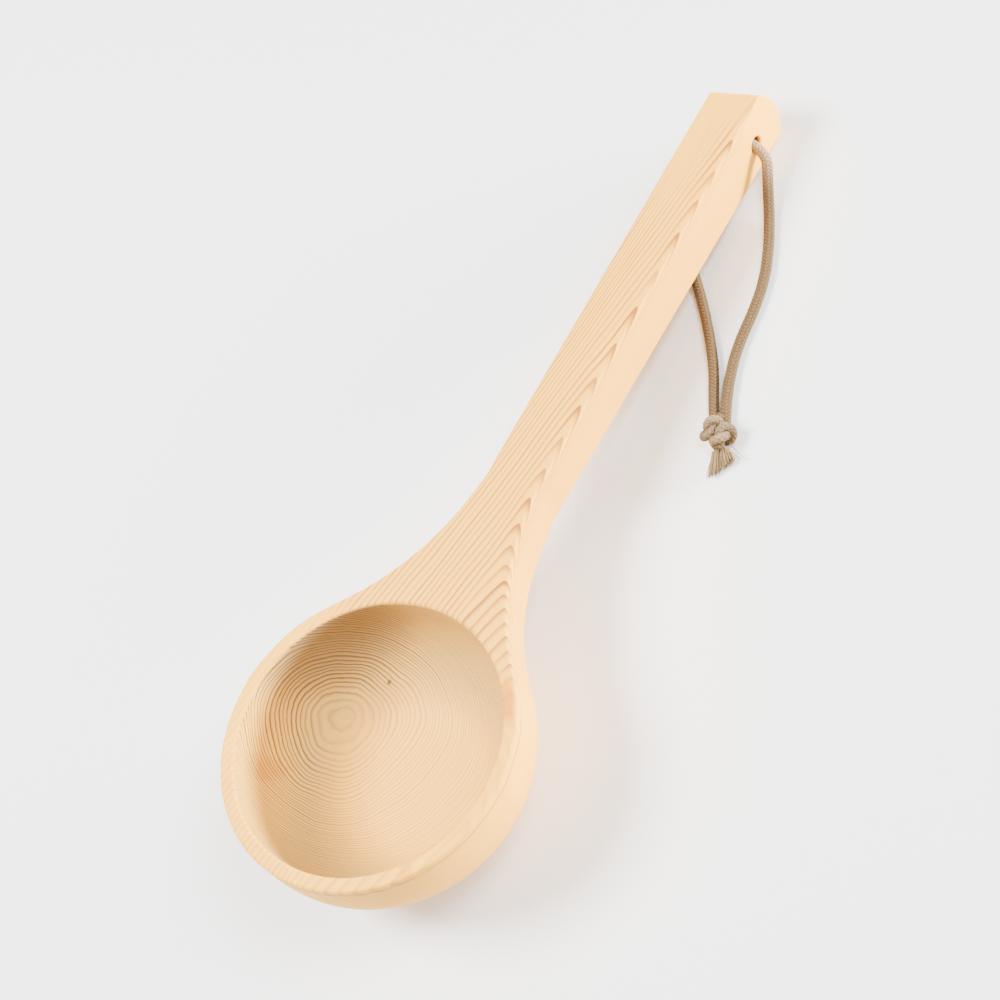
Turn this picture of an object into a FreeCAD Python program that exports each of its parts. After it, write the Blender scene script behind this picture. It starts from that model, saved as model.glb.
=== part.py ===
import FreeCAD, Part
import math
import os
import Sketcher
from FreeCAD import Placement, Rotation, Vector

doc = FreeCAD.newDocument("sauna_ladle")

# Sizes that are set by themselves, in millimetres, and in degrees where the name says so.
# The ladle is drawn level, with its rim in the plane z = 0, the bowl's axis at x = 0 and the handle along +x.
sizes = {
    "bowl_radius": 66,
    "bowl_wall_height": 12,
    "bowl_corner_radius": 44,
    "wall_thickness": 6.6,
    "floor_thickness": 7,
    "rim_inner_round": 1.6,
    "top_round": 1.3,
    "neck_radius": 120,
    "neck_under_radius": 40,
    "blend_start": 25,
    "blend_end": 120,
    "handle_reach": 333,
    "handle_width_at_neck": 27,
    "handle_width_at_end": 24.4,
    "handle_depth_at_neck": 24,
    "handle_depth_at_end": 31.5,
    "handle_lower_round": 3,
    "end_bulge_radius": 23,
    "end_bulge_drop": 16,
    "end_slant_deg": 9,
    "end_edge_round": 1.2,
    "end_spare": 4,
    "hole_setback": 19,
    "hole_drop": 16.5,
    "hole_clearance": 1.1,
    "hole_edge_round": 1,
    "cord_diameter": 5,
    "cord_exit": 5.2,
    "strand_gap": 0.5,
    "knot_back": 129,
    "knot_aside": 54,
    "knot_heading_deg": 209,
    "knot_length": 20,
    "knot_diameter": 15,
    "tail_length": 16,
    "tail_end_diameter": 6.8,
    "tail_splay_deg": 11,
    "tail_dip_deg": 15,
    "strand_exit_height": 6.2,
    "knot_entry_back": 14,
    "knot_entry_end_back": 2,
    "bend_share": 0.45,
    "rest_precision": 0.05,
    "rest_tilt_limit_deg": 45,
    "rest_halvings": 30,
    "radius_match": 0.01,
}

# Sizes that follow from those above.
derived = {
    "bowl_depth": "bowl_wall_height + bowl_corner_radius",
    "base_radius": "bowl_radius - bowl_corner_radius",
    "cavity_radius": "bowl_radius - wall_thickness",
    "cavity_depth": "bowl_depth - floor_thickness",
    "cavity_corner_radius": "cavity_depth - bowl_wall_height",
    "handle_half_at_neck": "handle_width_at_neck / 2",
    "handle_half_at_end": "handle_width_at_end / 2",
    "neck_centre_y": "handle_half_at_neck + neck_radius",
    "neck_centre_x": "sqrt((bowl_radius + neck_radius)^2 - neck_centre_y^2)",
    "neck_start_x": "neck_centre_x * bowl_radius / (bowl_radius + neck_radius)",
    "under_centre_drop": "handle_depth_at_neck + neck_under_radius",
    "under_centre_x": "base_radius + sqrt((bowl_corner_radius + neck_under_radius)^2"
                      " - (under_centre_drop - bowl_wall_height)^2)",
    "under_start_x": "base_radius + (under_centre_x - base_radius) * bowl_corner_radius"
                     " / (bowl_corner_radius + neck_under_radius)",
    "handle_wall_at_neck": "handle_depth_at_neck - handle_lower_round",
    "handle_wall_at_end": "handle_depth_at_end - handle_lower_round",
    "end_reach": "handle_reach * cos(end_slant_deg * 1 deg)",
    "hole_radius": "cord_diameter / 2 + hole_clearance",
    "hole_x": "handle_reach - hole_setback",
    "handle_half_at_hole": "handle_half_at_neck + (handle_half_at_end - handle_half_at_neck)"
                           " * (hole_x - neck_centre_x) / (handle_reach + end_spare - neck_centre_x)",
    "strand_offset": "(cord_diameter + strand_gap) / 2",
    "knot_radius": "knot_diameter / 2",
}


def fill_sheet(name, numbers, formulas):
    """A sheet of plain numbers with a name each, and below them the formulas that use them."""
    sheet = doc.addObject("Spreadsheet::Sheet", name)
    cells = [(alias, str(number)) for alias, number in numbers.items()]
    cells += [(alias, "=" + formula) for alias, formula in formulas.items()]
    for row, (alias, content) in enumerate(cells, start=1):
        sheet.set(f"A{row}", alias)
        sheet.set(f"B{row}", content)
        sheet.setAlias(f"B{row}", alias)
    doc.recompute()
    return sheet


size_sheet = fill_sheet("Sizes", sizes, derived)


def size(alias):
    return float(size_sheet.get(alias))


def origin_plane(body, role):
    return next(feature for feature in body.Origin.OriginFeatures if feature.Role == role)


def new_sketch(body, name, role, offset=None):
    """A sketch on one of the body's origin planes; offset is an expression along the plane's normal."""
    sketch = body.newObject("Sketcher::SketchObject", name)
    sketch.AttachmentSupport = [(origin_plane(body, role), "")]
    sketch.MapMode = "FlatFace"
    if offset:
        sketch.setExpression("AttachmentOffset.Base.z", offset)
    return sketch


def line(start, end):
    return Part.LineSegment(Vector(*start, 0), Vector(*end, 0))


def arc(centre, radius, from_deg, to_deg):
    circle = Part.Circle(Vector(*centre, 0), Vector(0, 0, 1), radius)
    return Part.ArcOfCircle(circle, math.radians(from_deg), math.radians(to_deg))


def bind(sketch, kind, elements, expression):
    """A driving dimension of the sketch that follows an expression in the sheets' names."""
    value = float(sketch.evalExpression(expression))
    index = sketch.addConstraint(Sketcher.Constraint(kind, *elements, value))
    sketch.setExpression(f"Constraints[{index}]", expression)


def half_width_at(place):
    """The formula for half the ladle's width at a place along x: the bowl's circle, then the neck's arc."""
    return (f"{place} < Sizes.neck_start_x ? sqrt(Sizes.bowl_radius^2 - {place}^2)"
            f" : Sizes.neck_centre_y - sqrt(Sizes.neck_radius^2 - (Sizes.neck_centre_x - {place})^2)")


def depth_at(place):
    """The formula for the depth below the rim: the base, the bowl's corner, the cove and the handle."""
    return (f"{place} < Sizes.base_radius ? Sizes.bowl_depth"
            f" : {place} < Sizes.under_start_x"
            f" ? Sizes.bowl_wall_height + sqrt(Sizes.bowl_corner_radius^2 - ({place} - Sizes.base_radius)^2)"
            f" : {place} < Sizes.under_centre_x"
            f" ? Sizes.under_centre_drop"
            f" - sqrt(Sizes.neck_under_radius^2 - (Sizes.under_centre_x - {place})^2)"
            f" : Sizes.handle_depth_at_neck")


def wall_at(place):
    """The formula for how far the side stands upright: little on the bowl, most of the handle's depth."""
    share = f"min(1; max(0; ({place} - Sizes.blend_start) / (Sizes.blend_end - Sizes.blend_start)))"
    smooth = f"({share}^2 * (3 - 2 * {share}))"
    return f"Sizes.bowl_wall_height + (Sizes.handle_wall_at_neck - Sizes.bowl_wall_height) * {smooth}"


# The cross-sections of the back half of the bowl and of the neck, as shares of the way to the neck's end.
station_shares = (0, 0.09, 0.18, 0.27, 0.36, 0.45, 0.55, 0.65, 0.76, 0.88, 1)
stations = {}
for number, share in enumerate(station_shares):
    stations[f"place_{number}"] = f"Sizes.neck_centre_x * {share}"
    stations[f"half_width_{number}"] = half_width_at(f"place_{number}")
    stations[f"depth_{number}"] = depth_at(f"place_{number}")
    stations[f"wall_{number}"] = wall_at(f"place_{number}")
fill_sheet("Stations", {}, stations)


def cross_section(body, name, place, half_width, wall, depth):
    """A level top, upright sides and round lower corners, with the top corners lightly rounded."""
    sketch = new_sketch(body, name, "YZ_Plane", place)
    w, v, d, r = (float(sketch.evalExpression(text)) for text in (half_width, wall, depth, "Sizes.top_round"))
    corner = d - v
    sketch.addGeometry([
        line((r - w, 0), (w - r, 0)),
        arc((w - r, -r), r, 0, 90),
        line((w, -r), (w, -v)),
        arc((w - corner, -v), corner, 270, 360),
        line((w - corner, -d), (corner - w, -d)),
        arc((corner - w, -v), corner, 180, 270),
        line((-w, -v), (-w, -r)),
        arc((r - w, -r), r, 90, 180),
    ])
    joints = [(0, 2, 1, 2), (1, 1, 2, 1), (2, 2, 3, 2), (3, 1, 4, 1),
              (4, 2, 5, 2), (5, 1, 6, 1), (6, 2, 7, 2), (7, 1, 0, 1)]
    for joint in joints:
        sketch.addConstraint(Sketcher.Constraint("Tangent", *joint))
    sketch.addConstraint([
        Sketcher.Constraint("Horizontal", 0),
        Sketcher.Constraint("Horizontal", 4),
        Sketcher.Constraint("Vertical", 2),
        Sketcher.Constraint("Vertical", 6),
        Sketcher.Constraint("Equal", 1, 7),
        Sketcher.Constraint("Equal", 3, 5),
        Sketcher.Constraint("PointOnObject", 0, 1, -1),
    ])
    bind(sketch, "DistanceX", (-1, 1, 2, 1), half_width)
    bind(sketch, "DistanceX", (6, 1, -1, 1), half_width)
    bind(sketch, "Radius", (1,), "Sizes.top_round")
    bind(sketch, "DistanceY", (2, 2, -1, 1), wall)
    bind(sketch, "Radius", (3,), f"{depth} - {wall}")
    return sketch


def bowl_half_profile(body):
    """The bowl's outside from the axis to the rim, on the plane where the two halves of the bowl meet."""
    sketch = new_sketch(body, "bowl_profile", "YZ_Plane")
    names = ("bowl_radius", "bowl_wall_height", "bowl_corner_radius", "top_round")
    w, v, c, r = (size(name) for name in names)
    d = v + c
    sketch.addGeometry([
        line((0, 0), (w - r, 0)),
        arc((w - r, -r), r, 0, 90),
        line((w, -r), (w, -v)),
        arc((w - c, -v), c, 270, 360),
        line((w - c, -d), (0, -d)),
        line((0, -d), (0, 0)),
    ])
    for joint in [(0, 2, 1, 2), (1, 1, 2, 1), (2, 2, 3, 2), (3, 1, 4, 1)]:
        sketch.addConstraint(Sketcher.Constraint("Tangent", *joint))
    sketch.addConstraint([
        Sketcher.Constraint("Coincident", 4, 2, 5, 1),
        Sketcher.Constraint("Coincident", 5, 2, 0, 1),
        Sketcher.Constraint("Coincident", 0, 1, -1, 1),
        Sketcher.Constraint("Horizontal", 0),
        Sketcher.Constraint("Horizontal", 4),
        Sketcher.Constraint("Vertical", 2),
        Sketcher.Constraint("Vertical", 5),
    ])
    bind(sketch, "DistanceX", (-1, 1, 2, 1), "Sizes.bowl_radius")
    bind(sketch, "Radius", (1,), "Sizes.top_round")
    bind(sketch, "DistanceY", (2, 2, -1, 1), "Sizes.bowl_wall_height")
    bind(sketch, "Radius", (3,), "Sizes.bowl_corner_radius")
    return sketch


def cavity_profile(body):
    """The bowl's inside from the axis to the rim, with the rim's inner edge rounded over."""
    sketch = new_sketch(body, "cavity_profile", "XZ_Plane")
    names = ("cavity_radius", "bowl_wall_height", "cavity_corner_radius", "rim_inner_round")
    w, v, c, r = (size(name) for name in names)
    d, above = v + c, size("top_round")
    sketch.addGeometry([
        line((0, above), (w + r, above)),
        line((w + r, above), (w + r, 0)),
        arc((w + r, -r), r, 90, 180),
        line((w, -r), (w, -v)),
        arc((w - c, -v), c, 270, 360),
        line((w - c, -d), (0, -d)),
        line((0, -d), (0, above)),
    ])
    for joint in [(2, 2, 3, 1), (3, 2, 4, 2), (4, 1, 5, 1)]:
        sketch.addConstraint(Sketcher.Constraint("Tangent", *joint))
    sketch.addConstraint([
        Sketcher.Constraint("Coincident", 0, 2, 1, 1),
        Sketcher.Constraint("Coincident", 1, 2, 2, 1),
        Sketcher.Constraint("Coincident", 5, 2, 6, 1),
        Sketcher.Constraint("Coincident", 6, 2, 0, 1),
        Sketcher.Constraint("PointOnObject", 0, 1, -2),
        Sketcher.Constraint("PointOnObject", 1, 2, -1),
        Sketcher.Constraint("Horizontal", 0),
        Sketcher.Constraint("Horizontal", 5),
        Sketcher.Constraint("Vertical", 1),
        Sketcher.Constraint("Vertical", 3),
        Sketcher.Constraint("Vertical", 6),
    ])
    bind(sketch, "DistanceX", (-1, 1, 3, 1), "Sizes.cavity_radius")
    bind(sketch, "DistanceX", (3, 1, 2, 1), "Sizes.rim_inner_round")
    bind(sketch, "Radius", (2,), "Sizes.rim_inner_round")
    bind(sketch, "DistanceY", (3, 2, -1, 1), "Sizes.bowl_wall_height")
    bind(sketch, "Radius", (4,), "Sizes.cavity_corner_radius")
    bind(sketch, "DistanceY", (-1, 1, 0, 1), "Sizes.top_round")
    return sketch


def revolve(body, kind, name, sketch, angle):
    feature = body.newObject(kind, name)
    feature.Profile = sketch
    feature.ReferenceAxis = (sketch, ["V_Axis"])
    feature.Angle = angle
    feature.Refine = False
    return feature


def loft(body, name, sketches, ruled):
    feature = body.newObject("PartDesign::AdditiveLoft", name)
    feature.Profile = sketches[0]
    feature.Sections = sketches[1:]
    feature.Ruled = ruled
    feature.Refine = False
    return feature


def end_profile(body):
    """All that lies past the end's bulging arc, seen from the side, on a plane turned by the end's slant."""
    sketch = new_sketch(body, "end_profile", "XZ_Plane")
    sketch.AttachmentOffset = Placement(Vector(), Rotation(Vector(0, 1, 0), size("end_slant_deg")))
    sketch.setExpression("AttachmentOffset.Rotation.Angle", "Sizes.end_slant_deg * 1 deg")
    reach, radius, drop = size("end_reach"), size("end_bulge_radius"), size("end_bulge_drop")
    spare = size("end_spare")
    top, foot = spare, -size("handle_depth_at_end") - spare
    centre = (reach - radius, -drop)
    high, low = math.asin((top + drop) / radius), math.asin((foot + drop) / radius)
    top_x, foot_x = centre[0] + radius * math.cos(high), centre[0] + radius * math.cos(low)
    far = reach + 3 * spare
    sketch.addGeometry([
        arc(centre, radius, math.degrees(low), math.degrees(high)),
        line((top_x, top), (far, top)),
        line((far, top), (far, foot)),
        line((far, foot), (foot_x, foot)),
    ])
    sketch.addConstraint([
        Sketcher.Constraint("Coincident", 0, 2, 1, 1),
        Sketcher.Constraint("Coincident", 1, 2, 2, 1),
        Sketcher.Constraint("Coincident", 2, 2, 3, 1),
        Sketcher.Constraint("Coincident", 3, 2, 0, 1),
        Sketcher.Constraint("Horizontal", 1),
        Sketcher.Constraint("Vertical", 2),
        Sketcher.Constraint("Horizontal", 3),
    ])
    bind(sketch, "Radius", (0,), "Sizes.end_bulge_radius")
    bind(sketch, "DistanceX", (-1, 1, 0, 3), "Sizes.end_reach - Sizes.end_bulge_radius")
    bind(sketch, "DistanceY", (0, 3, -1, 1), "Sizes.end_bulge_drop")
    bind(sketch, "DistanceY", (-1, 1, 1, 2), "Sizes.end_spare")
    bind(sketch, "DistanceY", (3, 1, -1, 1), "Sizes.handle_depth_at_end + Sizes.end_spare")
    bind(sketch, "DistanceX", (-1, 1, 2, 1), "Sizes.end_reach + 3 * Sizes.end_spare")
    return sketch


def hole_circle(body):
    sketch = new_sketch(body, "hole_circle", "XZ_Plane")
    sketch.addGeometry(Part.Circle(Vector(size("hole_x"), -size("hole_drop"), 0), Vector(0, 0, 1),
                                   size("hole_radius")))
    bind(sketch, "Radius", (0,), "Sizes.hole_radius")
    bind(sketch, "DistanceX", (-1, 1, 0, 3), "Sizes.hole_x")
    bind(sketch, "DistanceY", (0, 3, -1, 1), "Sizes.hole_drop")
    return sketch


def cut_through(body, name, sketch):
    """Cuts the sketch's shape out of the body from side to side."""
    feature = body.newObject("PartDesign::Pocket", name)
    feature.Profile = sketch
    feature.Type = "ThroughAll"
    feature.Midplane = True
    feature.Refine = False
    return feature


ladle = doc.addObject("PartDesign::Body", "ladle_body")
ladle.Label = "ladle_body"

revolve(ladle, "PartDesign::Revolution", "bowl_front", bowl_half_profile(ladle), 180)
neck_sections = [
    cross_section(ladle, f"neck_section_{number}", f"Stations.place_{number}",
                  f"Stations.half_width_{number}", f"Stations.wall_{number}", f"Stations.depth_{number}")
    for number in range(len(station_shares))
]
loft(ladle, "bowl_back_and_neck", neck_sections, ruled=False)
handle_sections = [
    cross_section(ladle, "handle_start", "Sizes.neck_centre_x", "Sizes.handle_half_at_neck",
                  "Sizes.handle_wall_at_neck", "Sizes.handle_depth_at_neck"),
    cross_section(ladle, "handle_end", "Sizes.handle_reach + Sizes.end_spare", "Sizes.handle_half_at_end",
                  "Sizes.handle_wall_at_end", "Sizes.handle_depth_at_end"),
]
loft(ladle, "handle", handle_sections, ruled=True)
doc.recompute()

cut_through(ladle, "end_cut", end_profile(ladle))
revolve(ladle, "PartDesign::Groove", "cavity", cavity_profile(ladle), 360)
cord_hole = cut_through(ladle, "cord_hole", hole_circle(ladle))
doc.recompute()


def edges_of_faces(shape, wanted):
    """The names of the edges round the faces that a test picks."""
    picked = [edge for face in shape.Faces if wanted(face) for edge in face.Edges]
    return [f"Edge{number}" for number, edge in enumerate(shape.Edges, start=1)
            if any(edge.isSame(other) for other in picked)]


def is_cylinder(face, radius):
    surface = face.Surface
    return isinstance(surface, Part.Cylinder) and abs(surface.Radius - radius) < size("radius_match")


def fillet(body, name, base, edges, radius):
    feature = body.newObject("PartDesign::Fillet", name)
    feature.Base = (base, edges)
    feature.setExpression("Radius", radius)
    feature.Refine = False
    return feature


hole_edges = edges_of_faces(cord_hole.Shape, lambda face: is_cylinder(face, size("hole_radius")))
hole_round = fillet(ladle, "hole_round", cord_hole, hole_edges, "Sizes.hole_edge_round")
doc.recompute()
end_edges = edges_of_faces(hole_round.Shape, lambda face: is_cylinder(face, size("end_bulge_radius")))
end_round = fillet(ladle, "end_round", hole_round, end_edges, "Sizes.end_edge_round")
doc.recompute()


def resting_placement(shape):
    """Tips the ladle until the bowl and the handle's end touch one level surface, and centres it there."""
    points = shape.tessellate(size("rest_precision"))[0]
    halfway = size("neck_centre_x")
    bowl = [point for point in points if point.x < halfway]
    handle = [point for point in points if point.x >= halfway]
    least, most = 0, size("rest_tilt_limit_deg")
    for _ in range(int(size("rest_halvings"))):
        tilt = (least + most) / 2
        turn = Rotation(Vector(0, 1, 0), tilt)
        if min(turn.multVec(point).z for point in bowl) < min(turn.multVec(point).z for point in handle):
            least = tilt
        else:
            most = tilt
    turned = [turn.multVec(point) for point in points]
    along = [point.x for point in turned]
    lowest = min(point.z for point in turned)
    return Placement(Vector(-(min(along) + max(along)) / 2, 0, -lowest), turn)


ladle.Placement = resting_placement(ladle.Shape)
hole_centre = ladle.Placement.multVec(Vector(size("hole_x"), 0, -size("hole_drop")))

# The cord passes through the hole, and its two strands lie on the surface as far as the knot.
# Each point is (x, y) from the hole and z from the surface.
strand_height = size("cord_diameter") / 2
exit_height = size("strand_exit_height")
near_strand = [
    (-13, -21, exit_height),
    (-27.5, -27.7, strand_height),
    (-41, -34, strand_height),
    (-55.5, -39, strand_height),
    (-70, -41, strand_height),
    (-85, -41.5, strand_height),
    (-99, -44, strand_height),
]
far_strand = [
    (-13, 22, exit_height),
    (-31, 22.5, strand_height),
    (-47.5, 13, strand_height),
    (-58, -2.5, strand_height),
    (-69.5, -13.2, strand_height),
    (-85, -25.5, strand_height),
    (-101, -36.5, strand_height),
]
knot_heading = Rotation(Vector(0, 0, 1), size("knot_heading_deg"))
knot_centre = Vector(hole_centre.x - size("knot_back"), -size("knot_aside"), size("knot_radius"))


def strand_points(points, side):
    """A strand's corners from the hole's mouth into the knot; side is -1 for the near one, 1 for the far."""
    mouth = hole_centre + Vector(0, side * (size("handle_half_at_hole") + size("cord_exit")), 0)
    lying = [Vector(hole_centre.x + x, y, z) for x, y, z in points]
    beside = -side * size("strand_offset")
    before_knot = knot_centre + knot_heading.multVec(Vector(-size("knot_entry_back"), beside, 0))
    before_knot.z = strand_height
    in_knot = knot_centre + knot_heading.multVec(Vector(-size("knot_entry_end_back"), beside, 0))
    return [mouth, *lying, before_knot, in_knot]


def rounded_route(corners, bend_share):
    """A wire of straight runs joined by tangent arcs, which take an equal share of their shorter runs."""
    edges = []
    start = corners[0]
    for before, corner, after in zip(corners, corners[1:], corners[2:]):
        back, ahead = before - corner, after - corner
        half_turn = (math.pi - back.getAngle(ahead)) / 2
        reach = bend_share * min(back.Length, ahead.Length)
        radius = reach / math.tan(half_turn)
        back.normalize()
        ahead.normalize()
        inward = (back + ahead).normalize() * (radius / math.cos(half_turn) - radius)
        arc_start, arc_end = corner + back * reach, corner + ahead * reach
        edges.append(Part.LineSegment(start, arc_start).toShape())
        edges.append(Part.Arc(arc_start, corner + inward, arc_end).toShape())
        print(f"bend of {math.degrees(2 * half_turn):.1f} degrees, radius {radius:.1f} mm")
        start = arc_end
    edges.append(Part.LineSegment(start, corners[-1]).toShape())
    return Part.Wire(edges)


near_corners = strand_points(near_strand, -1)
far_corners = strand_points(far_strand, 1)
cord_corners = near_corners[::-1] + far_corners
cord_route = doc.addObject("Part::Feature", "cord_route")
cord_route.Shape = rounded_route(cord_corners, size("bend_share"))

cord_section = doc.addObject("Part::Circle", "cord_section")
cord_section.setExpression("Radius", "Sizes.cord_diameter / 2")
along = cord_corners[1] - cord_corners[0]
cord_section.Placement = Placement(cord_corners[0], Rotation(Vector(0, 0, 1), along))
cord_tube = doc.addObject("Part::Sweep", "cord_tube")
cord_tube.Sections = [cord_section]
cord_tube.Spine = (cord_route, [])
cord_tube.Solid = True


def knot_profile(body):
    """A straight side with round ends, which turns about the sketch's upright axis."""
    sketch = new_sketch(body, "knot_profile", "XY_Plane")
    radius = size("knot_radius")
    straight = size("knot_length") / 2 - radius
    sketch.addGeometry([
        arc((0, -straight), radius, 270, 360),
        line((radius, -straight), (radius, straight)),
        arc((0, straight), radius, 0, 90),
        line((0, straight + radius), (0, -straight - radius)),
    ])
    sketch.addConstraint([
        Sketcher.Constraint("Tangent", 0, 2, 1, 1),
        Sketcher.Constraint("Tangent", 1, 2, 2, 1),
        Sketcher.Constraint("Coincident", 2, 2, 3, 1),
        Sketcher.Constraint("Coincident", 3, 2, 0, 1),
        Sketcher.Constraint("PointOnObject", 0, 3, -2),
        Sketcher.Constraint("PointOnObject", 2, 3, -2),
        Sketcher.Constraint("Vertical", 3),
    ])
    bind(sketch, "Radius", (2,), "Sizes.knot_radius")
    bind(sketch, "DistanceY", (-1, 1, 2, 2), "Sizes.knot_length / 2")
    bind(sketch, "DistanceY", (0, 1, -1, 1), "Sizes.knot_length / 2")
    return sketch


knot = doc.addObject("PartDesign::Body", "cord_knot")
knot.Label = "cord_knot"
revolve(knot, "PartDesign::Revolution", "knot_turned", knot_profile(knot), 360)
knot.Placement = Placement(knot_centre, knot_heading * Rotation(Vector(0, 0, 1), -90))


def tail(name, side):
    """One of the cord's two cut ends, which widens where it is frayed."""
    cone = doc.addObject("Part::Cone", name)
    cone.setExpression("Radius1", "Sizes.cord_diameter / 2")
    cone.setExpression("Radius2", "Sizes.tail_end_diameter / 2")
    cone.setExpression("Height", "Sizes.tail_length")
    splay = Rotation(Vector(0, 0, 1), side * size("tail_splay_deg"))
    dip = Rotation(Vector(0, 1, 0), 90 + size("tail_dip_deg"))
    cone.Placement = Placement(knot_centre, knot_heading * splay * dip)
    return cone


def cut_from(name, base, tool):
    feature = doc.addObject("Part::Cut", name)
    feature.Label = name
    feature.Base = base
    feature.Tool = tool
    return feature


both_tails = doc.addObject("Part::MultiFuse", "both_tails")
both_tails.Shapes = [tail("near_tail", -1), tail("far_tail", 1)]
hang_cord = cut_from("hang_cord", cord_tube, knot)
cord_tails = cut_from("cord_tails", both_tails, knot)
doc.recompute()

section_area = math.pi * strand_height ** 2
print("cord length", cord_route.Shape.Length, "mm, volume over section",
      cord_tube.Shape.Volume / section_area, "mm")

for feature in doc.Objects:
    if "Invalid" in feature.State or "Error" in feature.State:
        raise RuntimeError(f"{feature.Name} did not build: {feature.State}")

os.makedirs("parts", exist_ok=True)
for part in (ladle, hang_cord, knot, cord_tails):
    shape = part.Shape
    if shape.isNull() or not shape.isValid() or len(shape.Solids) != 1:
        raise RuntimeError(f"{part.Label} is not one valid solid")
    print(part.Label, f"{shape.Volume:.0f} cubic millimetres")
    shape.Solids[0].exportStep(f"parts/{part.Label}.step")
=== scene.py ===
import math
import random

import bpy
import numpy as np
from mathutils import Matrix, Vector


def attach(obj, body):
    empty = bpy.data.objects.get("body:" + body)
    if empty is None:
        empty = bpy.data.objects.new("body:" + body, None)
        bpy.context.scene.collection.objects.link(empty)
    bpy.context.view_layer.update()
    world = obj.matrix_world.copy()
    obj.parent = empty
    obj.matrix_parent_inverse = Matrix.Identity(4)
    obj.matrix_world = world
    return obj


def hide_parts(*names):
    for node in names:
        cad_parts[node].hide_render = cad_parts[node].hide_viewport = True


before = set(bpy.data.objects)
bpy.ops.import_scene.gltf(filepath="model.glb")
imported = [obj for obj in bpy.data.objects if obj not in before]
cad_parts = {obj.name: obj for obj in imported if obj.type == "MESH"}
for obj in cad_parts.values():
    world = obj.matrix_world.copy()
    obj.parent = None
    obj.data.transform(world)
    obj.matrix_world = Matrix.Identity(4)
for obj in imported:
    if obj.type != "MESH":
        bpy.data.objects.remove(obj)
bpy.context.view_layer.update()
random.seed(7)
print("frame loaded")


# The camera stands where the photograph was taken from, found by fitting the ladle's outline.
camera = {
    "place": (-0.2165, -0.5303, 0.8490),  # m, in the row's frame
    "right": (0.44814, -0.79181, -0.41497),  # the picture's right
    "down": (-0.87117, -0.28264, -0.40148),  # the picture's down
    "lens": 85.16,  # mm
    "sensor": 36,  # mm
    "nearest": 0.01,  # m
}


def placeCamera():
    data = bpy.data.cameras.new("camera")
    data.lens = camera["lens"]
    data.sensor_width = camera["sensor"]
    data.clip_start = camera["nearest"]
    holder = bpy.data.objects.new("camera", data)
    bpy.context.collection.objects.link(holder)
    right = Vector(camera["right"]).normalized()
    up = -Vector(camera["down"])
    up = (up - right * up.dot(right)).normalized()
    back = right.cross(up)
    turn = Matrix((right, up, back)).transposed().to_4x4()
    holder.matrix_world = Matrix.Translation(camera["place"]) @ turn
    bpy.context.scene.camera = holder


placeCamera()
print("camera placed")


def newMaterial(name):
    material = bpy.data.materials.new(name)
    material.use_nodes = True
    return material


def plug(tree, value, socket):
    # joins a field or a colour's output to the socket, or sets a plain value on it
    if isinstance(value, Field):
        tree.links.new(value.socket, socket)
    elif isinstance(value, bpy.types.NodeSocket):
        tree.links.new(value, socket)
    else:
        socket.default_value = (*value, 1) if isinstance(value, tuple) else value


class Field:
    # One value in a material's graph. Sums, products and the calls below add a node each.
    def __init__(self, tree, socket):
        self.tree = tree
        self.socket = socket

    def calculate(self, operation, *others):
        node = self.tree.nodes.new("ShaderNodeMath")
        node.operation = operation
        for place, value in enumerate((self, *others)):
            plug(self.tree, value, node.inputs[place])
        return Field(self.tree, node.outputs[0])

    def __add__(self, other):
        return self.calculate("ADD", other)

    def __sub__(self, other):
        return self.calculate("SUBTRACT", other)

    def __mul__(self, other):
        return self.calculate("MULTIPLY", other)

    def __truediv__(self, other):
        return self.calculate("DIVIDE", other)

    def fraction(self):
        return self.calculate("FRACT")

    def whole(self):
        return self.calculate("FLOOR")

    def atLeast(self, low):
        return self.calculate("MAXIMUM", low)

    def atMost(self, high):
        return self.calculate("MINIMUM", high)

    def root(self):
        return self.calculate("SQRT")

    def sine(self):
        return self.calculate("SINE")

    def exponent(self):
        return self.calculate("EXPONENT")

    def inverse(self):
        return self.calculate("POWER", -1)

    def remainder(self):
        return self * -1 + 1

    def between(self, low, high, first=0, last=1):
        # first at low and last at high, smooth in between
        node = self.tree.nodes.new("ShaderNodeMapRange")
        node.interpolation_type = "SMOOTHSTEP"
        plug(self.tree, self, node.inputs["Value"])
        for name, value in (("From Min", low), ("From Max", high), ("To Min", first), ("To Max", last)):
            node.inputs[name].default_value = value
        return Field(self.tree, node.outputs["Result"])


def total(parts):
    result = parts[0]
    for part in parts[1:]:
        result = result + part
    return result


def distance(*sides):
    return total([side * side for side in sides]).root()


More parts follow.
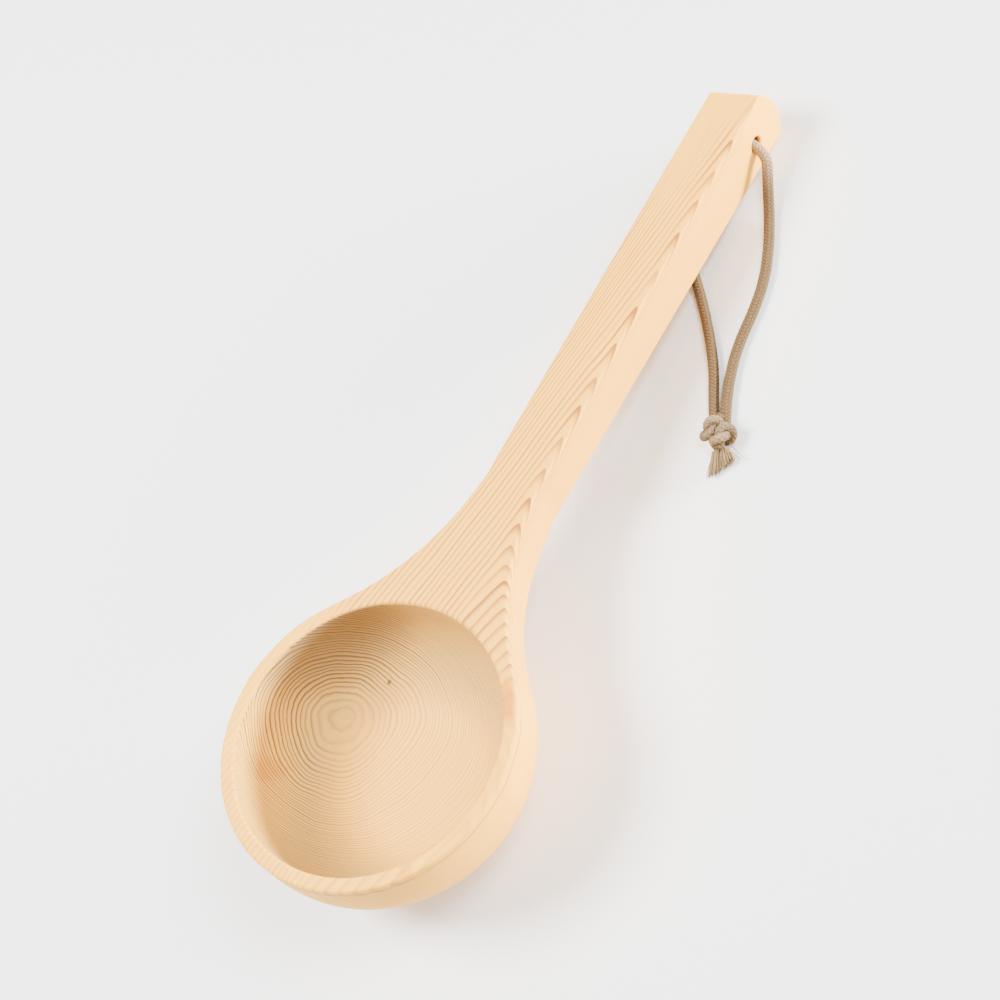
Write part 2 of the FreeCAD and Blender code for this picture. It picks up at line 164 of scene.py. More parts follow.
class Graph:
    # The nodes of one material, with the few kinds that the materials below are made of.
    def __init__(self, material):
        self.tree = material.node_tree
        self.shader = self.tree.nodes["Principled BSDF"]

    def objectPlace(self):
        # in millimetres
        coordinates = self.tree.nodes.new("ShaderNodeTexCoord")
        split = self.tree.nodes.new("ShaderNodeSeparateXYZ")
        self.tree.links.new(coordinates.outputs["Object"], split.inputs[0])
        return [Field(self.tree, output) * 1000 for output in split.outputs]

    def attribute(self, name):
        node = self.tree.nodes.new("ShaderNodeAttribute")
        node.attribute_name = name
        return Field(self.tree, node.outputs["Fac"])

    def vector(self, *sides):
        node = self.tree.nodes.new("ShaderNodeCombineXYZ")
        for socket, value in zip(node.inputs, sides):
            plug(self.tree, value, socket)
        return node.outputs[0]

    def noise(self, vector, detail, rough=0.5):
        # about -1 to 1, over lengths of about 1 in the vector
        node = self.tree.nodes.new("ShaderNodeTexNoise")
        for name, value in (("Scale", 1), ("Detail", detail), ("Roughness", rough)):
            node.inputs[name].default_value = value
        self.tree.links.new(vector, node.inputs["Vector"])
        return (Field(self.tree, node.outputs["Fac"]) - 0.5) * 2

    def waves(self, place, lengths, detail, rough=0.5):
        # noise whose waves have about these lengths along the three axes
        sides = [side / length for side, length in zip(place, lengths)]
        return self.noise(self.vector(*sides), detail, rough)

    def mix(self, factor, first, second):
        node = self.tree.nodes.new("ShaderNodeMix")
        node.data_type = "RGBA"
        plug(self.tree, factor, node.inputs["Factor"])
        for socket, colour in zip((s for s in node.inputs if s.type == "RGBA"), (first, second)):
            plug(self.tree, colour, socket)
        return next(s for s in node.outputs if s.type == "RGBA")

    def bump(self, height, distance, strength):
        node = self.tree.nodes.new("ShaderNodeBump")
        node.inputs["Strength"].default_value = strength
        node.inputs["Distance"].default_value = distance
        plug(self.tree, height, node.inputs["Height"])
        self.connect(node.outputs["Normal"], "Normal")

    def connect(self, value, name):
        plug(self.tree, value, self.shader.inputs[name])


# The yarn: its own pale colour where it lies on top, and painted shade where it dips under the others.
yarn = {
    "light": (0.108, 0.065, 0.027),
    "paintedDipShade": (0.020, 0.011, 0.005),
    "fibre": (0.22, 0.145, 0.066),
    "frayed": (0.27, 0.18, 0.088),
    "upperColour": (0.50, 0.36, 0.22),  # a lighter colour higher up, towards the hole
    "ply": 0.0011,  # m along a yarn for one turn of its plies
    "plySlant": 0.00012,  # m along the yarn for each radian round it
    "toneLengths": (5, 5, 5),  # mm
    "fibreLengths": (0.4, 0.4, 0.4),
    "lifted": (-1.5, 1.0),  # from the painted shade in the dips to the yarn's own colour on top
    "toneLift": 0.5,
    "plyLift": 0.12,
    "fuzz": (0.1, 1.2, 0, 0.35),
    "fuzzWeights": (0.9, 0.4),  # of the fibres and the tone
    "upperFade": (6, 16, 0, 0.5),  # mm above the floor, and how far the colour goes towards the lighter one there
    "roughness": 0.86,
    "roughnessSpread": 0.05,
    "specular": 0.1,
    "sheen": 0.03,
    "relief": 0.00012,  # m
    "reliefStrength": 0.7,
    "plyRelief": 0.5,
    "fibreRelief": 0.6,
}


def makeYarn(name, light, paintedDipShade):
    material = newMaterial(name)
    graph = Graph(material)
    place = graph.objectPlace()
    lift, along = graph.attribute("lift"), graph.attribute("along")
    ply = (along * (2 * math.pi / yarn["ply"])).sine()
    tone = graph.waves(place, yarn["toneLengths"], 3, 0.7)
    fibre = graph.waves(place, yarn["fibreLengths"], 2)
    # painted shade where the yarn dips under the others, varied by the yarn's tone and its plies
    raised = (lift + tone * yarn["toneLift"] + ply * yarn["plyLift"]).between(*yarn["lifted"])
    colour = graph.mix(raised, paintedDipShade, light)
    fibreWeight, toneWeight = yarn["fuzzWeights"]
    fuzz = (fibre * fibreWeight + tone * toneWeight).between(*yarn["fuzz"])
    colour = graph.mix(fuzz, colour, yarn["fibre"])
    # the cord is lighter higher up, towards the hole
    colour = graph.mix(place[2].between(*yarn["upperFade"]), colour, yarn["upperColour"])
    graph.connect(colour, "Base Color")
    graph.connect(fibre * yarn["roughnessSpread"] + yarn["roughness"], "Roughness")
    graph.connect(yarn["specular"], "Specular IOR Level")
    graph.connect(yarn["sheen"], "Sheen Weight")
    height = ply * yarn["plyRelief"] + fibre * yarn["fibreRelief"]
    graph.bump(height, yarn["relief"], yarn["reliefStrength"])
    return material


# The cord: a loop through the handle's hole, braided from eight yarns each way. Its route repeats the points
# of the part's source, in metres: x and y from the hole, z from the floor.
cord = {
    "diameter": 0.005,
    "hole": (0.178875, 0, 0.01578),
    "inHole": (0.0007, 0, 0.0006),  # how far the cord lies from the hole's middle line
    "mouth": 0.01754,  # from the ladle's middle plane to the point where a strand turns down
    "exit": 0.0123,  # from the ladle's middle plane to the wood's side
    "near": [(-0.013, -0.021, 0.0062), (-0.0275, -0.0277, 0.0025), (-0.041, -0.034, 0.0025),
             (-0.0555, -0.039, 0.0025), (-0.07, -0.041, 0.0025), (-0.085, -0.0415, 0.0025),
             (-0.099, -0.044, 0.0025)],
    "far": [(-0.013, 0.022, 0.0062), (-0.031, 0.0225, 0.0025), (-0.0475, 0.013, 0.0025),
            (-0.058, -0.0025, 0.0025), (-0.0695, -0.0132, 0.0025), (-0.085, -0.0255, 0.0025),
            (-0.101, -0.0365, 0.0025)],
    "lengths": (0.148, 0.170),  # of the near strand and the far one, from inside the hole to inside the knot
    "yarns": 8,
    "pitch": 0.0132,  # along the cord for one turn of a yarn
    "yarnWidth": 0.00128,
    "yarnThickness": 0.00062,
    "yarnCorners": 6,
    "weaveDepth": 0.00024,
    "step": 0.00034,
    "coreCorners": 10,
    "coreLift": -2.0,  # below the deepest yarn, so the core takes the painted shade colour all over
}


def readLine(points):
    # the points of a smooth line that has these control points
    data = bpy.data.curves.new("route", "CURVE")
    data.dimensions = "3D"
    spline = data.splines.new("NURBS")
    spline.points.add(len(points) - 1)
    for place, point in zip(spline.points, points):
        place.co = (*point, 1)
    spline.order_u = 3
    spline.use_endpoint_u = True
    spline.resolution_u = 16
    route = bpy.data.objects.new("route", data)
    bpy.context.collection.objects.link(route)
    mesh = bpy.data.meshes.new_from_object(route)
    line = np.array([vertex.co for vertex in mesh.vertices])
    bpy.data.meshes.remove(mesh)
    bpy.data.objects.remove(route)
    bpy.data.curves.remove(data)
    return line


# The knot: both strands tied together in one overhand knot.
knot = {
    "middle": (0.049875, -0.054, 0.0026),  # on the line that the strands come in on
    "heading": math.radians(209),
    "enters": ((-0.014, 0.00275), (-0.004, 0.0023)),  # back from the knot's middle, and aside
    "size": (0.00115, 0.00088, 0.0009),  # metres for a millimetre of the tied rope: along, across and up
    "rope": 0.0041,  # thickness of the cord where it is squeezed
    "starts": -7.5,  # along the tied rope's line, where the knot's own cord begins and ends
    "ends": 6.5,
    "tie": {
        "loop": 2.2,  # size of the loose loop that it starts from
        "span": 2.35,  # how much of the loop's curve is used, either way
        "samples": 800,
        "stretch": 0.22,
        "lead": 14,  # steps of straight cord before and after the loop
        "step": 1.3,
        "thickness": 3.4,
        "rounds": 1200,
        "pull": 0.25,  # a round, at each end
        "guide": 6,  # past this distance from the middle the two cords are led side by side
        "guideFade": 6,
        "guideForce": 0.06,
        "passes": 4,
        "stiffness": 0.05,
        "alongside": 1.6,  # thicknesses along one cord within which it can't touch itself
        "push": 0.4,
        "pushShare": 0.5,
    },
}


def knotPoint(along, across, up):
    turnCos, turnSin = math.cos(knot["heading"]), math.sin(knot["heading"])
    x, y, z = knot["middle"]
    return (x + along * turnCos - across * turnSin, y + along * turnSin + across * turnCos, z + up)


def strandPoints(lying, side):
    x, y, z = cord["hole"]
    start = tuple(middle + offset for middle, offset in zip(cord["hole"], cord["inHole"]))
    route = [start, (x, y + side * cord["mouth"], z)]
    route += [(x + ahead, aside, height) for ahead, aside, height in lying]
    route += [knotPoint(along, -side * aside, 0) for along, aside in knot["enters"]]
    return route


def evenSteps(line, step):
    gaps = np.linalg.norm(np.diff(line, axis=0), axis=1)
    reach = np.concatenate([[0], np.cumsum(gaps)])
    count = max(3, int(round(reach[-1] / step)) + 1)
    places = np.linspace(0, reach[-1], count)
    return places, np.stack([np.interp(places, reach, line[:, axis]) for axis in range(3)], axis=1)


def unit(vectors):
    return vectors / np.linalg.norm(vectors, axis=-1, keepdims=True)


def carriedSides(line):
    # a sideways direction at each point, carried along the line without twist
    ahead = unit(np.gradient(line, axis=0))
    side = np.empty_like(line)
    current = np.cross(ahead[0], (0.1, 0.2, 1.0))
    for place, direction in enumerate(ahead):
        current = unit(current - direction * current.dot(direction))
        side[place] = current
    return side, np.cross(ahead, side)


class Strips:
    # Gathers many thin tubes into one mesh, with two values at each point for the yarn's material.
    def __init__(self):
        self.points, self.faces, self.lift, self.along = [], [], [], []
        self.count = 0

    def add(self, line, across, outward, width, thickness, lift, along, corners):
        turns = np.arange(corners) * 2 * math.pi / corners
        wide = np.sin(turns)[None, :, None] * np.reshape(width, (-1, 1, 1)) / 2
        thick = -np.cos(turns)[None, :, None] * np.reshape(thickness, (-1, 1, 1)) / 2
        rings = line[:, None] + across[:, None] * wide + outward[:, None] * thick
        rows = np.arange(len(line) - 1)[:, None] * corners + self.count
        here = np.arange(corners)[None]
        beside = (here + 1) % corners
        quads = [rows + here, rows + beside, rows + corners + beside, rows + corners + here]
        self.points.append(rings.reshape(-1, 3))
        self.faces += np.stack(quads, -1).reshape(-1, 4).tolist()
        last = self.count + (len(line) - 1) * corners
        self.faces.append(list(range(self.count + corners - 1, self.count - 1, -1)))
        self.faces.append(list(range(last, last + corners)))
        self.lift.append(np.repeat(np.broadcast_to(lift, len(line)), corners))
        self.along.append(np.repeat(along, corners) + np.tile(turns, len(line)) * yarn["plySlant"])
        self.count += len(line) * corners

    def piece(self, name, material):
        mesh = bpy.data.meshes.new(name)
        mesh.from_pydata(np.concatenate(self.points).tolist(), [], self.faces)
        for word, values in (("lift", self.lift), ("along", self.along)):
            mesh.attributes.new(word, "FLOAT", "POINT").data.foreach_set("value", np.concatenate(values))
        mesh.shade_smooth()
        mesh.materials.append(material)
        piece = bpy.data.objects.new(name, mesh)
        bpy.context.collection.objects.link(piece)
        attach(piece, "root")
        return piece


def addBraid(strips, line, diameter):
    # Each yarn passes over two and then under two of those that go the other way.
    places, centre = evenSteps(line, cord["step"])
    side, up = carriedSides(centre)
    count, depth, thickness = cord["yarns"], cord["weaveDepth"], cord["yarnThickness"]
    radius = diameter / 2 - depth - thickness / 2
    strips.add(centre, side, up, 2 * radius, 2 * radius, cord["coreLift"], places, cord["coreCorners"])
    crossings = places / cord["pitch"] * 2 * count
    for way in (1, -1):
        for number in range(count):
            turn = (way * places / cord["pitch"] + number / count) * 2 * math.pi
            wave = way * np.cos(math.pi / 2 * (way * crossings + 2 * number - 0.5))
            outward = side * np.cos(turn)[:, None] + up * np.sin(turn)[:, None]
            path = centre + outward * (radius + wave * depth)[:, None]
            across = unit(np.cross(np.gradient(path, axis=0), outward))
            strips.add(path, across, outward, cord["yarnWidth"], thickness, wave, places, cord["yarnCorners"])


def looseLoop():
    # a wide overhand loop with straight leads, in even steps
    tie = knot["tie"]
    t = np.linspace(-tie["span"], tie["span"], tie["samples"])
    loop = np.stack([(t**5 - 10 * t) * tie["stretch"], t**3 - 3 * t, t**4 - 4 * t**2], axis=1) * tie["loop"]
    lead = np.arange(1, tie["lead"] + 1)[:, None] * tie["step"] * np.array([[1.0, 0, 0]])
    middle = evenSteps(loop, tie["step"])[1]
    return np.concatenate([middle[0] - lead[::-1], middle, middle[-1] + lead])


def tieKnot():
    # Two cords side by side start as a loose overhand loop and are pulled tight from both ends. Each point
    # keeps its distance from its neighbours along the cord, and the cords keep clear of each other. In
    # millimetres.
    tie = knot["tie"]
    step, thickness = tie["step"], tie["thickness"]
    middle = looseLoop()
    side = carriedSides(middle)[0]
    count = len(middle)
    points = np.concatenate([middle + side * thickness / 2, middle - side * thickness / 2])
    number = np.arange(count)
    close = np.abs(number[:, None] - number[None]) <= math.ceil(tie["alongside"] * thickness / step)
    apart = ~np.block([[close, np.zeros_like(close)], [np.zeros_like(close), close]])
    first, second = np.nonzero(np.triu(apart, 1))
    inner = np.r_[1:count - 1, count + 1:2 * count - 1]
    ropes = (slice(0, count), 1), (slice(count, 2 * count), -1)
    ends = np.array([0, count, count - 1, 2 * count - 1])
    for _ in range(tie["rounds"]):
        for pair, way in ((ends[:2], -1), (ends[2:], 1)):
            points[pair, 0] = points[pair, 0].mean() + way * tie["pull"]
        for rope, offset in ropes:
            past = (np.abs(points[rope, 0]) - tie["guide"]) / tie["guideFade"]
            led = np.clip(past, 0, 1) * tie["guideForce"]
            points[rope, 1] += led * (offset * thickness / 2 - points[rope, 1])
            points[rope, 2] -= led * points[rope, 2]
        held = points[ends].copy()
        for _ in range(tie["passes"]):
            for begin in (0, 1, count, count + 1):
                here = np.arange(begin, begin - begin % count + count - 1, 2)
                gap = points[here + 1] - points[here]
                length = np.linalg.norm(gap, axis=1)[:, None]
                shift = gap * (0.5 * (length - step) / length)
                points[here] += shift
                points[here + 1] -= shift
            points[ends, 1:] = held[:, 1:]
        points[inner] += tie["stiffness"] * ((points[inner - 1] + points[inner + 1]) / 2 - points[inner])
        gap = points[second] - points[first]
        length = np.sqrt((gap * gap).sum(axis=1))
        near = length < thickness
        one, other = first[near], second[near]
        shift = gap[near] * ((thickness / length[near] - 1) * tie["push"])[:, None]
        moves, touches = np.zeros_like(points), np.zeros(len(points))
        np.add.at(moves, one, -shift)
        np.add.at(moves, other, shift)
        np.add.at(touches, one, 1)
        np.add.at(touches, other, 1)
        points += moves / np.maximum(1, touches * tie["pushShare"])[:, None]
    return points[:count], points[count:]


def makeKnot(material):
    strips = Strips()
    alongScale, acrossScale, upScale = knot["size"]
    for rope in tieKnot():
        inside = np.flatnonzero((rope[:, 0] > knot["starts"]) & (rope[:, 0] < knot["ends"]))
        tied = rope[inside[0]:inside[-1] + 1]
        corners = [knotPoint(x * alongScale, -y * acrossScale, -z * upScale) for x, y, z in tied]
        addBraid(strips, readLine(corners), knot["rope"])
    return strips.piece("knot", material)


# The frayed ends below the knot.
tails = {
    "threads": 90,
    "thread": 0.00046,  # thickness
    "points": 7,  # along a thread
    "tip": 0.7,  # of a thread's thickness
    "lift": (0.2, 1.4),
    "starts": 0.0066,  # along from the knot's middle
    "startAside": 0.0017,  # from the knot's line to the middle of one cord
    "startHalves": (0.0021, 0.0019),  # half its width and height there
    "reach": (0.0182, 0.0122),  # where the slanted cut ends, on the one side and on the other
    "reachSpread": 0.00025,
    "sagSpread": 0.00022,
    "width": 0.0118,  # of both together at the cut
    "overlap": 1.06,
    "height": (0.0006, 0.0052),
    "loose": [  # single threads: along, across and up, in metres from the knot's middle
        [(0.0060, 0.0050, 0.0040), (0.0090, 0.0078, 0.0036), (0.0122, 0.0101, 0.0014)],
        [(0.0075, 0.0030, 0.0050), (0.0108, 0.0064, 0.0050), (0.0128, 0.0090, 0.0030)],
        [(0.0095, -0.0040, 0.0030), (0.0138, -0.0062, 0.0022), (0.0168, -0.0076, 0.0005)],
    ],
}


def bent(start, end, sag):
    # from start to end on a curve that passes below the straight way by sag
    shares = np.linspace(0, 1, tails["points"])[:, None]
    line = np.array(start) * (1 - shares) + np.array(end) * shares
    line[:, 2] -= (4 * sag * shares * (1 - shares))[:, 0]
    return line


def addThread(strips, line):
    side, up = carriedSides(line)
    places = np.linspace(0, 1, len(line)) * np.linalg.norm(line[-1] - line[0])
    narrowing = np.linspace(1, tails["tip"], len(line)) * tails["thread"]
    lift = random.uniform(*tails["lift"])
    strips.add(line, side, up, narrowing, narrowing, lift, places, cord["yarnCorners"])


def makeTails(material):
    strips = Strips()
    low, high = tails["height"]
    startWidth, startHeight = tails["startHalves"]
    quarter = tails["width"] / 4
    for side in (-1, 1):
        for _ in range(tails["threads"]):
            turn, out = random.uniform(0, 2 * math.pi), math.sqrt(random.random())
            u, v = out * math.cos(turn), out * math.sin(turn)
            across = side * quarter + u * quarter * tails["overlap"]
            share = across / tails["width"] + 0.5
            reach = tails["reach"][0] * (1 - share) + tails["reach"][1] * share
            reach += random.gauss(0, tails["reachSpread"])
            endUp = (low + high) / 2 + v * (high - low) / 2 - knot["middle"][2]
            start = knotPoint(tails["starts"], side * tails["startAside"] + u * startWidth, v * startHeight)
            end = knotPoint(reach, across, endUp)
            addThread(strips, bent(start, end, random.gauss(0, tails["sagSpread"])))
    for points in tails["loose"]:
        line = readLine([knotPoint(along, across, up - knot["middle"][2]) for along, across, up in points])
        addThread(strips, line)
    return strips.piece("frayed_ends", material)


def makeStrand(name, lying, side, material):
    line = readLine(strandPoints(lying, side))
    strips = Strips()
    addBraid(strips, line, cord["diameter"])
    strand = strips.piece(name, material)
    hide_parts("hang_cord")


yarnMaterial = makeYarn("braided yarn", yarn["light"], yarn["paintedDipShade"])
endMaterial = makeYarn("frayed yarn", yarn["frayed"], yarn["paintedDipShade"])
knotPiece = makeKnot(yarnMaterial)
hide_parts("cord_knot")
tailPiece = makeTails(endMaterial)
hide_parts("cord_tails")
makeStrand("near_strand", cord["near"], -1, yarnMaterial)
makeStrand("far_strand", cord["far"], 1, yarnMaterial)
print("cord braided and tied")


# The wood. Inside the bowl the lines are yearly rings round a point left of the middle of its floor. Outside
# they run along the ladle at a small angle to it and turn back in narrow arches along the near top edge.
# Places are in millimetres in the ladle's own level frame: along it, to the side and up from the rim. A fade
# is from, to and the values at the two; a noise is its lengths, its detail and its amount.
wood = {
    "tilt": math.radians(4.65234),  # of the ladle as it lies
    "levelPlace": (-132.753, 57.6923),  # x and z of the bowl's axis at the rim
    "year": {
        "darkens": (0.42, 0.92),  # shares of a year
        "ends": (0.95, 1),
        "inside": 0.95,  # how dark a line is
        "outside": 0.85,
        "spread": 0.6,  # of the darkness from year to year
        "apart": 0.73,
    },
    "core": {  # of the rings inside the bowl
        "side": -40,
        "height": 62,
        "rise": 0.20,
        "reach": 134,
        "middle": (5, 34),  # the rings close round this place
        "closing": 0.008,
        "wide": 1.0,
        "fine": 0.58,
        "slowSway": ((30, 22, 22), 1, 2.2),
        "quickSway": ((5, 5, 5), 2, 0.3),
        "uneven": ((7, 7, 7), 1, 1.2),
        "clear": (0.5, 6, 0.4, 1),  # from the smallest ring outwards
        "floor": (-47, -38, 0.5, 1),
    },
    "crest": {  # where the arches turn back: its side on the bowl and on the handle
        "bowl": -61.7,
        "handle": -10.9,
        "neck": 60,
        "spread": 16,
        "tip": 1.6,
        "near": 3,
        "nearDarker": 0.2,
    },
    "lines": {  # years in a millimetre outside
        "wide": 0.37,
        "beyond": 0.09,
        "beyondBend": 2,
        "narrow": 0.30,
        "narrowFrom": 13,
        "narrowBend": 5,
        "narrowAlong": (40, 230),
        "down": 2.1,
        "along": 0.056,
        "slowSway": ((70, 16, 16), 1, 1.5),
        "quickSway": ((16, 5, 5), 1, 0.35),
    },
    "fades": {  # of the lines outside
        "patches": ((60, 14, 14), 1, 0.3),
        "patchesFrom": 70,
        "middle": 0.9,
        "handleEnd": (303, 318, 1, 0.15),
        "plainAlong": (245, 300),
        "plainSide": (-8, 0),
        "plain": 0.8,
        "low": (-9, -1.5, 0.38, 1),
        "bowlRim": (38, 52, 1, 0),
        "frontRim": (-50, -25, 0.5, 0.8),
    },
    "growthLine": {  # one thin line below the rim on the near side
        "below": 3.2,
        "sharpness": 5,
        "sway": ((25, 25, 25), 2, 0.6),
        "along": (20, 50, 1, 0),
        "side": (-15, 25, 1, 0),
        "strength": 0.75,
    },
    "pale": (0.92, 0.450, 0.036),
    "warm": (0.87, 0.385, 0.028),
    "warmth": ((40, 18, 18), 2, 0.6),
    "warmthMiddle": 0.4,
    "late": (0.36, 0.122, 0.008),
    "hollow": (0.66, 0.405, 0.090),  # inside the bowl
    "hollowLate": (0.19, 0.090, 0.022),
    "wall": {"reach": 22.7, "depth": -13.5, "radius": 40, "edge": 1},  # halfway through the bowl's wall
    "belowRim": (-1.6, -0.2, 1, 0),
    "shade": {  # painted shade on the bowl's far inside wall
        "colour": (0.28, 0.215, 0.105),
        "towards": (0.6, 0.8),
        "fade": (45, 60),
        # how much darker the inner lines are within the painted shade
        "darker": 0.7,
    },
    "glow": {"colour": (0.92, 0.50, 0.055), "towards": (-0.5, 0.8), "fade": (42, 56, 0, 0.8)},  # painted light on the bowl's left inside wall
    # painted light: the bowl's floor takes a brighter colour, with painted shade in its corner against the
    # wall
    "bowlFloor": {
        "colour": (0.95, 0.47, 0.042),
        "corner": (0.66, 0.32, 0.055),
        "cornerFade": (26, 42, 0, 0.7),
        "fade": (-47, -38, 0.9, 0),
    },
    "boreShade": (0.22, 0.07, 0.012),  # painted shade inside the cord's hole
    "boreEdge": (3.7, 4.2, 0.9, 0),
    "boreDepth": (100, 150, 1, 0),  # square millimetres, from the middle plane
    "resin": (0.66, 0.22, 0.008),
    "markEdge": (0.35, 1.1),
    "markSway": ((5, 2, 2), 2, 0.25),
    "marks": [  # place, turn in degrees, half lengths, strength
        ((35.5, -50.5, 0), 35, (13, 3.4, 4), 0.95),
        ((-41.5, -47.1, 0), 44, (12, 3.5, 4), 0.4),
        ((-25.6, 51.4, -24), -27, (15, 6, 17), 0.38),
        ((300, 2, 0), 4, (22, 1.6, 3), 0.2),
    ],
    "fleck": {"place": (33.2, 31.0, -41.0), "length": 2, "edge": (0.44, 1.1, 0.8, 0),
              "colour": (0.10, 0.035, 0.012)},
    "fibreLengths": (9, 1 / 2.2, 1 / 2.2),
    "fibreWeight": 0.5,
    "fibreMiddle": 0.1,
    "fibreShows": (0, 0.6, 0, 0.12),
    "roughness": {"middle": 0.6, "fibre": 0.06, "line": -0.10},
    "specular": 0.2,
    "relief": {"depth": 0.00012, "strength": 0.6, "fibre": 0.35, "line": 0.5},  # depth in metres
}


def sway(graph, place, noise):
    lengths, detail, amount = noise
    return graph.waves(place, lengths, detail) * amount


def lateWood(graph, years, firm):
    # dark towards the end of each year, and fainter in some years than in others
    year = wood["year"]
    share = years.fraction()
    strength = graph.noise(graph.vector(years.whole() * year["apart"], 3, 0), 0) * year["spread"] + firm
    return (share.between(*year["darkens"]) - share.between(*year["ends"])) * strength


def innerLines(graph, place):
    along, y, height = place
    core = wood["core"]
    aside, below = y - core["side"], height - along * core["rise"] - core["height"]
    swaying = sway(graph, place, core["slowSway"]) + sway(graph, place, core["quickSway"])
    inward = distance(aside, below) * -1 + core["reach"] + swaying
    middle = [side - at for side, at in zip(place, core["middle"])]
    inward = inward + total([side * side for side in middle]) * core["closing"]
    inward = distance(inward, 0.1)  # never below zero
    years = inward.root() * core["wide"] + inward * core["fine"]
    years = years + sway(graph, (inward, 0, 0), core["uneven"])
    clear = inward.between(*core["clear"]) * height.between(*core["floor"])
    return lateWood(graph, years, wood["year"]["inside"]) * clear


def outerYears(graph, place):
    along, y, height = place
    crest, lines = wood["crest"], wood["lines"]
    onBowl = (((along - crest["neck"]) / crest["spread"]).exponent() + 1).inverse()
    edge = onBowl * (crest["bowl"] - crest["handle"]) + crest["handle"]
    aside, below = y - edge, height * lines["down"]
    swaying = sway(graph, place, lines["slowSway"]) + sway(graph, place, lines["quickSway"])
    out = distance(aside, below, crest["tip"]) + edge - crest["handle"] + swaying
    past = out - lines["narrowFrom"]
    years = out * (lines["wide"] - lines["beyond"]) + distance(out, lines["beyondBend"]) * lines["beyond"]
    narrow = along.between(*lines["narrowAlong"]) * (lines["narrow"] / 2)
    years = years + (distance(past, lines["narrowBend"]) + past) * narrow
    nearCrest = (aside * aside / -(crest["near"] ** 2)).exponent()
    return years + along * lines["along"], nearCrest


def outerLines(graph, place):
    along, y, height = place
    fades = wood["fades"]
    years, nearCrest = outerYears(graph, place)
    clear = sway(graph, (along, y, height + fades["patchesFrom"]), fades["patches"]) + fades["middle"]
    plain = along.between(*fades["plainAlong"]) * y.between(*fades["plainSide"])
    clear = clear * along.between(*fades["handleEnd"])
    clear = clear * height.between(*fades["low"]) * (plain * -fades["plain"] + 1)
    clear = clear + nearCrest * wood["crest"]["nearDarker"]
    rim = along.between(*fades["bowlRim"]) * along.between(*fades["frontRim"])
    return lateWood(graph, years, wood["year"]["outside"]) * clear * rim.remainder()


def growthLine(graph, place):
    along, y, height = place
    line = wood["growthLine"]
    off = height + line["below"] + sway(graph, (along, y, 0), line["sway"])
    shown = along.between(*line["along"]) * y.between(*line["side"]) * line["strength"]
    return (off * off * -line["sharpness"]).exponent() * shown


def hollowShare(place):
    # 1 on the bowl's inside and 0 elsewhere
    along, y, height = place
    wall = wood["wall"]
    inside, outside = wall["radius"] - wall["edge"], wall["radius"] + wall["edge"]
    outwards = (distance(along, y) - wall["reach"]).atLeast(0)
    downwards = (height - wall["depth"]).atMost(0)
    within = distance(outwards, downwards).between(inside, outside, 1, 0)
    return within * height.between(*wood["belowRim"])


def towards(place, way):
    return total([side * share for side, share in zip(place, way["towards"])]).between(*way["fade"])


# Inside the bowl: painted shade on the far wall, painted light on the left wall and on the floor, and painted
# shade in the floor's corner.
def hollowColour(graph, place, shade):
    glow, bowlFloor = wood["glow"], wood["bowlFloor"]
    colour = graph.mix(shade, wood["hollow"], wood["shade"]["colour"])
    # painted light on the left inside wall
    colour = graph.mix(towards(place, glow), colour, glow["colour"])
    # painted shade in the corner between the floor and the wall, and painted light on the floor
    corner = distance(*place[:2]).between(*bowlFloor["cornerFade"])
    floorColour = graph.mix(corner, bowlFloor["colour"], bowlFloor["corner"])
    return graph.mix(place[2].between(*bowlFloor["fade"]), colour, floorColour)


def markShare(graph, place, middle, turn, halves, strength):
    turnCos, turnSin = math.cos(math.radians(turn)), math.sin(math.radians(turn))
    ahead, aside, above = (side - at for side, at in zip(place, middle))
    turned = ahead * turnCos + aside * turnSin, aside * turnCos - ahead * turnSin, above
    far = distance(*(side / half for side, half in zip(turned, halves)))
    return (far + sway(graph, place, wood["markSway"])).between(*wood["markEdge"], strength, 0)


def fleckShare(place):
    fleck = wood["fleck"]
    ahead, aside, above = (side - at for side, at in zip(place, fleck["place"]))
    return distance(ahead / fleck["length"], aside, above).between(*fleck["edge"])


# where the painted shade inside the cord's hole goes
def boreShadeShare(x, y, z):
    holeX, holeY, holeZ = (side * 1000 for side in cord["hole"])
    within = distance(x - holeX, z - holeZ).between(*wood["boreEdge"])
    return within * ((y - holeY) * (y - holeY)).between(*wood["boreDepth"])


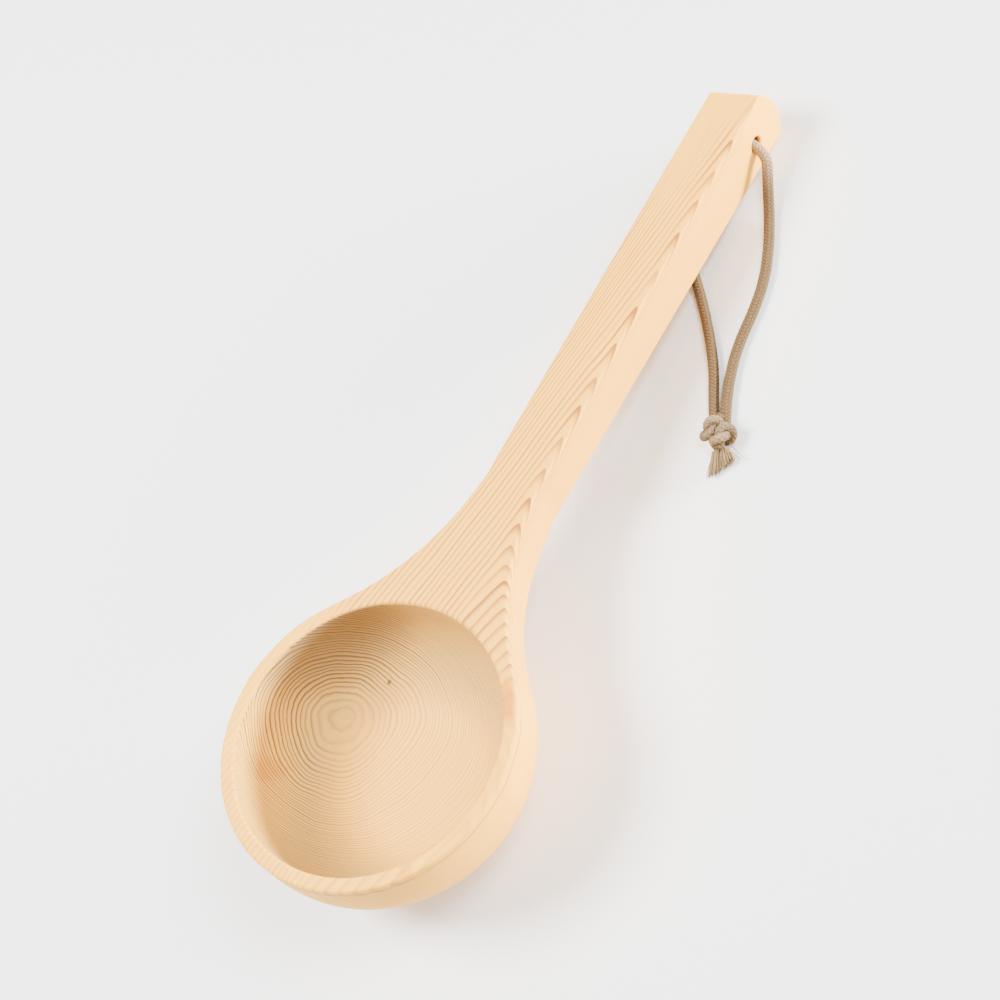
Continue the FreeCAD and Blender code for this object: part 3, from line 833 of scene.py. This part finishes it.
def makeWood():
    material = newMaterial("pale wood")
    graph = Graph(material)
    x, y, z = graph.objectPlace()
    turnCos, turnSin = math.cos(wood["tilt"]), math.sin(wood["tilt"])
    ahead, above = x - wood["levelPlace"][0], z - wood["levelPlace"][1]
    place = ahead * turnCos - above * turnSin, y, ahead * turnSin + above * turnCos

    hollow = hollowShare(place)
    innerLine = innerLines(graph, place) * hollow
    outerLine = (outerLines(graph, place) + growthLine(graph, place)) * hollow.remainder()
    fibre = graph.waves(place, wood["fibreLengths"], 3, 0.65)
    # painted shade on the bowl's far inside wall
    shade = towards(place, wood["shade"])

    warmth = sway(graph, place, wood["warmth"]) + wood["warmthMiddle"]
    colour = graph.mix(warmth, wood["pale"], wood["warm"])
    colour = graph.mix(hollow, colour, hollowColour(graph, place, shade))
    for mark in wood["marks"]:
        colour = graph.mix(markShare(graph, place, *mark), colour, wood["resin"])
    colour = graph.mix(outerLine, colour, wood["late"])
    # the inner lines are darker within the painted shade
    colour = graph.mix(innerLine * (shade * wood["shade"]["darker"] + 1), colour, wood["hollowLate"])
    fibreShown = (fibre * wood["fibreWeight"] + wood["fibreMiddle"]).between(*wood["fibreShows"])
    colour = graph.mix(fibreShown, colour, wood["late"])
    # painted shade inside the cord's hole
    colour = graph.mix(boreShadeShare(x, y, z), colour, wood["boreShade"])
    colour = graph.mix(fleckShare(place), colour, wood["fleck"]["colour"])
    graph.connect(colour, "Base Color")
    line, roughness, relief = outerLine + innerLine, wood["roughness"], wood["relief"]
    rough = fibre * roughness["fibre"] + line * roughness["line"] + roughness["middle"]
    graph.connect(rough, "Roughness")
    graph.connect(wood["specular"], "Specular IOR Level")
    graph.bump(fibre * relief["fibre"] + line * relief["line"], relief["depth"], relief["strength"])
    return material


def dress(node, material):
    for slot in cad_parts[node].material_slots:
        slot.material = material


dress("ladle_body", makeWood())
print("wood made")


# A pale floor, two broad soft lights above, and a long low one that reaches the handle's side.
studio = {
    "floorSize": 6,
    "floorColour": (0.8, 0.8, 0.8),
    "floorRoughness": 0.9,
    "left": {"place": (-0.436, 0.755, 1.362), "size": (0.7, 0.7), "power": 94},
    "right": {"place": (0.436, -0.755, 1.362), "size": (0.7, 0.7), "power": 42},
    "low": {"place": (1.127, -1.127, 0.16), "size": (0.9, 0.2), "power": 168},
    "aim": (0, 0, 0.02),
    "sky": 0.938,
}


def makeFloor():
    half = studio["floorSize"] / 2
    corners = [(-half, -half, 0), (half, -half, 0), (half, half, 0), (-half, half, 0)]
    mesh = bpy.data.meshes.new("floor")
    mesh.from_pydata(corners, [], [(0, 1, 2, 3)])
    floor = bpy.data.objects.new("floor", mesh)
    bpy.context.collection.objects.link(floor)
    material = newMaterial("floor")
    graph = Graph(material)
    graph.connect(studio["floorColour"], "Base Color")
    graph.connect(studio["floorRoughness"], "Roughness")
    mesh.materials.append(material)


def makeLight(name, place, size, power):
    data = bpy.data.lights.new(name, "AREA")
    data.shape = "ELLIPSE" if size[0] == size[1] else "RECTANGLE"
    data.size, data.size_y = size
    data.energy = power
    lamp = bpy.data.objects.new(name, data)
    lamp.location = place
    aim = Vector(studio["aim"]) - Vector(place)
    lamp.rotation_euler = aim.to_track_quat("-Z", "Y").to_euler()
    lamp.visible_camera = False
    bpy.context.collection.objects.link(lamp)


def makeSky():
    world = bpy.data.worlds.new("studio")
    world.use_nodes = True
    background = world.node_tree.nodes["Background"]
    background.inputs["Color"].default_value = (1, 1, 1, 1)
    background.inputs["Strength"].default_value = studio["sky"]
    bpy.context.scene.world = world


makeFloor()
for name in ("left", "right", "low"):
    makeLight(name, **studio[name])
makeSky()
print("studio lit")
